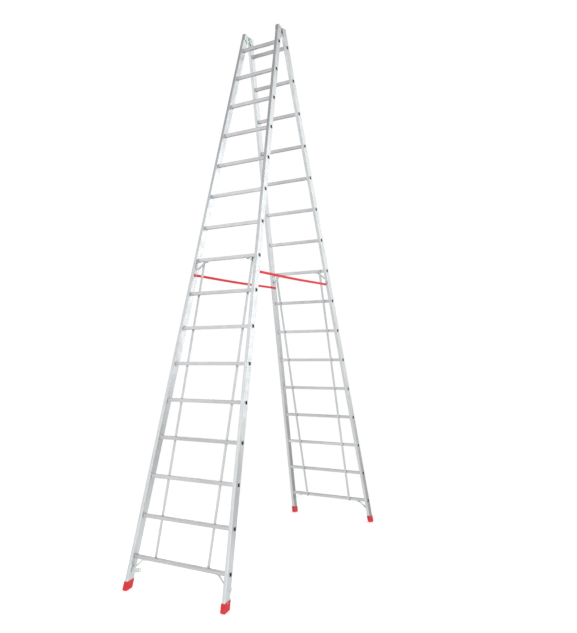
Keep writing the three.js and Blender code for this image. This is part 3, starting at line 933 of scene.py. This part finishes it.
def make_pin_cap(side):
    """The turned end on a hinge pin's head."""
    leaf = LEAVES[0]
    place = facing((side * (leaf.inner_web(0) - PIN_HEAD_DEPTH), 0, 0), (-side, 0, 0))
    profile = [(8.6, -0.3), (8.6, 0.5), (7.9, 1.1), (5.2, 1.25), (4.9, 0.8), (2.0, 0.7), (0.4, 0.7)]
    shape = Shape()
    shape.revolve(in_mm(profile), place, 32)
    shape.object(f"hinge_pin_cap_{leaf.hand(side)}", leaf.matrix, [ZINC], "zinc", leaf.body)


for leaf in LEAVES:
    for side in SIDES:
        make_web_rivets(leaf, side)
        make_leaf_rivets(leaf, side)
        make_plug(leaf, side)
for side in SIDES:
    make_pin_cap(side)


# ---------------------------------------------------------------- shoes


def shoe_y(out, height):
    """The world y of the front leaf's point at a distance out and a height over the floor."""
    down = (HINGE_HEIGHT - height + out * math.sin(LEAN)) / math.cos(LEAN)
    return -(down * math.sin(LEAN) + out * math.cos(LEAN))


def shoe_outline(rim, base):
    """Side view of a shoe as world (y, z) on the front leaf: a rim that rises to the heel, a rounded
    toe, a level sole behind it, and a ramp up to the rounded heel.
    """
    toe_out, heel_out = STILE_FAR + SHOE_WALL, STILE_NEAR - SHOE_WALL
    toe_rim, heel_z = rim - SHOE_RIM_SLOPE, base + SHOE_HEEL_RISE
    tilt = math.degrees(LEAN)
    toe_y = shoe_y(toe_out, base) + SHOE_TOE_RADIUS * math.tan(math.radians(90 + tilt) / 2)
    heel_y = shoe_y(heel_out, heel_z)
    ramp_y = toe_y + SHOE_SOLE_FLAT
    ramp = math.atan2(SHOE_HEEL_RISE, heel_y - ramp_y)
    tangent = SHOE_HEEL_RADIUS * math.tan((math.pi / 2 - LEAN - ramp) / 2)
    heel_centre = (
        heel_y - tangent * math.cos(ramp) - SHOE_HEEL_RADIUS * math.sin(ramp),
        heel_z - tangent * math.sin(ramp) + SHOE_HEEL_RADIUS * math.cos(ramp),
    )
    points = [(shoe_y(heel_out, rim), rim), (shoe_y(toe_out, toe_rim), toe_rim)]
    points += arc((toe_y, base + SHOE_TOE_RADIUS), SHOE_TOE_RADIUS, 180 - tilt, 270, 6)
    points.append((ramp_y, base))
    points += arc(heel_centre, SHOE_HEEL_RADIUS, math.degrees(ramp) - 90, -tilt, 8)
    return points


def to_stile(leaf, side, y, z, depth):
    """The leaf point at a world (y, z) of the front leaf, a depth in from the outer web."""
    point = LEAVES[0].inverse @ Vector((0, y, z))
    return Vector((side * (leaf.outer_web(point.z) - depth), point.y, point.z))


def prism(leaf, side, outline, depths):
    """An outline pushed between two depths, as a bmesh with flat sides."""
    work = bmesh.new()
    rows = []
    for depth in depths:
        rows.append([work.verts.new(to_stile(leaf, side, y, z, depth)) for y, z in outline])
    count = len(outline)
    for i in range(count):
        k = (i + 1) % count
        work.faces.new((rows[0][i], rows[0][k], rows[1][k], rows[1][i]))
    work.faces.new(rows[0][::-1])
    work.faces.new(rows[1])
    bmesh.ops.recalc_face_normals(work, faces=work.faces)
    return work


def round_edges(work, width):
    limit = math.radians(25)
    sharp = [e for e in work.edges if e.is_manifold and e.calc_face_angle() > limit]
    bmesh.ops.bevel(
        work, geom=sharp, offset=width, segments=4, profile=0.5, affect="EDGES", clamp_overlap=True
    )


def object_of(work, name, matrix, material):
    """A bmesh as an object, which frees the bmesh."""
    mesh = bpy.data.meshes.new(name)
    work.to_mesh(mesh)
    work.free()
    mesh.materials.append(material)
    piece = bpy.data.objects.new(name, mesh)
    bpy.context.scene.collection.objects.link(piece)
    piece.matrix_world = matrix
    return piece


def cut(piece, cutter):
    """Takes a cutter out of a piece for good and deletes the cutter."""
    modifier = piece.modifiers.new("cut", "BOOLEAN")
    modifier.operation = "DIFFERENCE"
    modifier.solver = "EXACT"
    modifier.object = cutter
    graph = bpy.context.evaluated_depsgraph_get()
    mesh = bpy.data.meshes.new_from_object(piece.evaluated_get(graph))
    piece.modifiers.clear()
    piece.data = mesh
    bpy.data.objects.remove(cutter)


def socket_cutter(leaf, side):
    """What a shoe's socket takes out: the stile and its clearance, from its end to above the rim."""
    matrix = leaf.stile(side)
    stile = node_points(f"stile_{leaf.end}_{leaf.hand(side)}", matrix.inverted())
    low = min(point.z for point in stile)
    high = low + 0.2
    near, far = -STILE_NEAR + GAP, -STILE_FAR - GAP
    outline = rounded_rectangle(-STILE_WIDTH - GAP, GAP, far, near, STILE_CORNER)
    section = Shape()
    section.loft([[(side * x, y, z) for x, y in outline] for z in (low - GAP, high)])
    return section.object("socket_cutter", matrix, [SHOE], "shoe", None)


def make_shoe(leaf, side):
    """A moulded shoe with an open socket, which stands in for the CAD foot."""
    hand = leaf.hand(side)
    node = f"foot_{leaf.end}_{hand}"
    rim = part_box(node)[1].z
    outline = shoe_outline(rim, LUG_HEIGHT)
    body = prism(leaf, side, outline, (-SHOE_SIDE_WALL, STILE_WIDTH + SHOE_SIDE_WALL))
    round_edges(body, SHOE_EDGE)
    piece = object_of(body, f"shoe_{leaf.end}_{hand}", leaf.matrix, SHOE)
    cut(piece, socket_cutter(leaf, side))
    finish_mesh(piece, 32)
    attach(piece, leaf.body)
    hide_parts(node)
    make_tread(leaf, side, outline)
    height = rim - SHOE_RIM_SLOPE / 2 - SHOE_SCREW_BELOW_RIM
    z = (height - HINGE_HEIGHT - SHOE_SCREW_OUT * math.sin(LEAN)) / math.cos(LEAN)
    spot = leaf.web_point(side, z, SHOE_SCREW_OUT, -SHOE_SIDE_WALL)
    make_boss(leaf, side, spot)
    make_screw(leaf, side, spot)


def make_tread(leaf, side, outline):
    """Lugs under the sole's level part, with grooves between them."""
    base = min(z for _, z in outline)
    flat = sorted(y for y, z in outline if z < base + 0.05 * MM)
    start, stop = flat[0] + 0.5 * MM, flat[-1] - 0.5 * MM
    length = (stop - start - LUG_GROOVE * (LUG_COUNT - 1)) / LUG_COUNT
    top = base + 0.4 * MM
    # Two rows of lugs, as depths in from the outer web.
    rows = ((-0.8 * MM, 11.3 * MM), (13.7 * MM, STILE_WIDTH + 0.8 * MM))
    shape = Shape()
    for i in range(LUG_COUNT):
        near = start + i * (length + LUG_GROOVE)
        far = near + length
        loop = [(near, top), (near, LUG_CHAMFER), (near + LUG_CHAMFER, 0)]
        loop += [(far - LUG_CHAMFER, 0), (far, LUG_CHAMFER), (far, top)]
        for depths in rows:
            shape.loft([[to_stile(leaf, side, y, z, depth) for y, z in loop] for depth in depths])
    name = f"shoe_tread_{leaf.end}_{leaf.hand(side)}"
    shape.object(name, leaf.matrix, [SHOE], "shoe", leaf.body, smooth=20)


def make_boss(leaf, side, spot):
    """The raised ring round a shoe's screw, and a row of grip ribs below it."""
    profile = [(7.0, -0.5), (7.0, 0.5), (6.4, 1.0), (5.1, 1.0), (4.9, 0.4), (0.5, 0.4)]
    boss = Shape()
    boss.revolve(in_mm(profile), facing(spot, (side, 0, 0)), 28)
    for i in range(RIB_COUNT):
        middle = spot - Vector((0, 0, RIB_START + RIB_PITCH * i))
        rings = []
        for height, inset in in_mm([(-0.4, 0), (0.4, 0), (0.8, 0.5)]):
            corners = rectangle(RIB_LENGTH - 2 * inset, RIB_WIDTH - 2 * inset)
            rings.append([middle + Vector((side * height, a, b)) for a, b in corners])
        boss.loft(rings)
    name = f"shoe_boss_{leaf.end}_{leaf.hand(side)}"
    boss.object(name, leaf.stile(side), [SHOE], "shoe", leaf.body, smooth=30)


def make_screw(leaf, side, spot):
    """The domed screw that holds a shoe, with a cross slot cut one bar at a time."""
    place = facing(spot, (side, 0, 0))
    profile = [(4.3, 0.2), (4.3, 0.9), (3.9, 1.6), (3.0, 2.1), (1.6, 2.35), (0.4, 2.4)]
    head = Shape()
    head.revolve(in_mm(profile), place, 24)
    name = f"shoe_screw_{leaf.end}_{leaf.hand(side)}"
    piece = head.object(name, leaf.stile(side), [SCREW], "rivet", None)
    for turn in (45, 135):
        bar = place @ Matrix.Rotation(math.radians(turn), 4, "Z")
        corners = rectangle(4.6 * MM, 0.9 * MM)
        slot = Shape()
        slot.loft([[bar @ Vector((a, b, height)) for a, b in corners] for height in (1.2 * MM, 3.5 * MM)])
        cut(piece, slot.object("slot_cutter", leaf.stile(side), [SCREW], "rivet", None))
    finish_mesh(piece, 30)
    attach(piece, leaf.body)


for leaf in LEAVES:
    for side in SIDES:
        make_shoe(leaf, side)


# ---------------------------------------------------------------- straps

FOLD_STEPS = 7
BEND_STEPS = 8
SPAN_STEPS = 120


def strap_path(end_y, x, side):
    """The webbing's middle line in a level plane: a folded end, the span, and a folded end."""
    inner = x - side * 2 * STRAP_BEND
    start = STRAP_BEND - end_y
    end = []
    for i in range(FOLD_STEPS):
        share = i / FOLD_STEPS
        bulge = 0.25 * MM * math.sin(math.pi * share)
        end.append((inner + side * bulge, start + STRAP_FOLD * (1 - share)))
    for i in range(BEND_STEPS + 1):
        angle = math.pi * i / BEND_STEPS
        end.append((x - side * STRAP_BEND * (1 + math.cos(angle)), start - STRAP_BEND * math.sin(angle)))
    span = [(x, start - 2 * start * i / SPAN_STEPS) for i in range(1, SPAN_STEPS)]
    return end + span + [(a, -b) for a, b in end[::-1]]


def strap_section(half_width):
    """The webbing's section, as (across, off the middle): a flat band with a thicker selvedge."""
    half_thick = STRAP_LAYER / 2
    edge = [(0, 0.35), (0.4 * MM, 0.95), (1.3 * MM, 1.1), (2.6 * MM, 0.92)]
    low = [(inset - half_width, half_thick * share) for inset, share in edge]
    high = [(half_width - inset, half_thick * share) for inset, share in edge[::-1]]
    front = low + [(0, half_thick * 0.95)] + high
    return front + [(v, -t) for v, t in front[::-1]]


def make_strap(side):
    """A webbing strap with folded and stitched ends, from one leaf to the other."""
    hand = LEAVES[0].hand(side)
    node = f"strap_{hand}"
    low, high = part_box(node)
    x, height, end_y = (low.x + high.x) / 2, (low.z + high.z) / 2, high.y
    loop = strap_section((high.z - low.z) / 2)
    path = strap_path(end_y, x, side)
    rings = []
    for i, (px, py) in enumerate(path):
        before, after = path[max(i - 1, 0)], path[min(i + 1, len(path) - 1)]
        along = Vector((after[0] - before[0], after[1] - before[1])).normalized()
        normal = Vector((along.y, -along.x))
        sag = STRAP_SAG * (1 - (py / end_y) ** 2) ** 2
        rings.append([(px + normal.x * t, py + normal.y * t, height - sag + v) for v, t in loop])
    shape = Shape()
    shape.loft(rings)
    materials = [WEBBING, THREAD]
    name = f"strap_{hand}_webbing"
    piece = shape.object(name, Matrix.Identity(4), materials, "webbing", None, smooth=50)
    paint_weave(piece, path, loop)
    join_stitches(piece, side, x, height, end_y)
    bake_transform(piece)
    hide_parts(node)
    make_strap_rivets(side, x, height)


def paint_weave(piece, path, loop):
    """Gives each corner its place on the webbing in metres, along and across."""
    lengths = [0.0]
    for (a, b), (c, d) in zip(path, path[1:]):
        lengths.append(lengths[-1] + math.hypot(c - a, d - b))
    layer = piece.data.uv_layers.new(name="weave")
    count = len(loop)
    for polygon in piece.data.polygons:
        for corner in polygon.loop_indices:
            ring, place = divmod(piece.data.loops[corner].vertex_index, count)
            if ring < len(path):
                layer.data[corner].uv = (lengths[ring], loop[place][0])


def stitch_lines(end, end_y):
    """A box with its diagonals, as world (y, height) starts and stops about the strap's middle."""
    box_start, box_length, box_half = 26 * MM, 44 * MM, 6.6 * MM
    first, last = end * (end_y - box_start), end * (end_y - box_start - box_length)
    corners = [(first, -box_half), (last, -box_half), (last, box_half), (first, box_half)]
    edges = list(zip(corners, corners[1:] + corners[:1]))
    return edges + [(corners[0], corners[2]), (corners[1], corners[3])]


def join_stitches(piece, side, x, height, end_y):
    """Rows of thread that hold the folded ends, on both faces, joined to the webbing."""
    radius, stitch, pitch = 0.42 * MM, 2.9 * MM, 3.9 * MM
    shares = [(0.15, -1.0), (0.75, -0.8), (1.0, 0.0), (0.75, 0.8), (0.15, 1.0)]
    profile = [(r * radius, h * stitch / 2) for r, h in shares]
    outer, inner = x + side * STRAP_LAYER / 2, x - side * (2 * STRAP_BEND + STRAP_LAYER / 2)
    shape = Shape()
    for end in (-1, 1):
        for face_x in (outer, inner):
            for start, stop in stitch_lines(end, end_y):
                run = Vector(stop) - Vector(start)
                count = int(run.length / pitch)
                for i in range(count):
                    middle = Vector(start) + run * ((i + 0.5) / count)
                    place = facing((face_x, middle.x, height + middle.y), (0, run.x, run.y))
                    shape.revolve(profile, place, 6, material=1)
    thread = shape.object("stitches", Matrix.Identity(4), [WEBBING, THREAD], "webbing", None)
    work = bmesh.new()
    work.from_mesh(piece.data)
    work.from_mesh(thread.data)
    work.to_mesh(piece.data)
    work.free()
    bpy.data.objects.remove(thread)
    finish_mesh(piece, 50)


def make_strap_rivets(side, x, height):
    """A washer and a rivet head through each end of a strap, and a spacer behind it."""
    washer = [(0.3, 0.9), (6.7, 0.9), (7.0, 0.6), (7.0, -0.2), (0.3, -0.2)]
    inward = (-side, 0, 0)
    for leaf in LEAVES:
        local_side = side if leaf.end == "front" else -side
        z = leaf.rungs[BRACED["upper"]].z - STRAP_DROP
        world = leaf.matrix @ Vector((local_side * leaf.inner_web(z), -STRAP_OUT, z))
        face = x - side * (2 * STRAP_BEND + STRAP_LAYER / 2)
        place = facing((face, world.y, height), inward)
        shape = Shape()
        shape.revolve(in_mm(washer), place, 28)
        add_rivet(shape, place @ Vector((0, 0, 0.8 * MM)), inward, STRAP_RIVET_RADIUS, 2.2 * MM)
        spacer = facing((side * leaf.inner_web(z), world.y, height), inward)
        shape.revolve(in_mm([(6, -0.4), (6, 1.6)]), spacer, 20)
        name = f"strap_rivet_{leaf.end}_{LEAVES[0].hand(side)}"
        shape.object(name, Matrix.Identity(4), [RIVET, RIVET_CORE], "rivet", leaf.body)


for side in SIDES:
    make_strap(side)
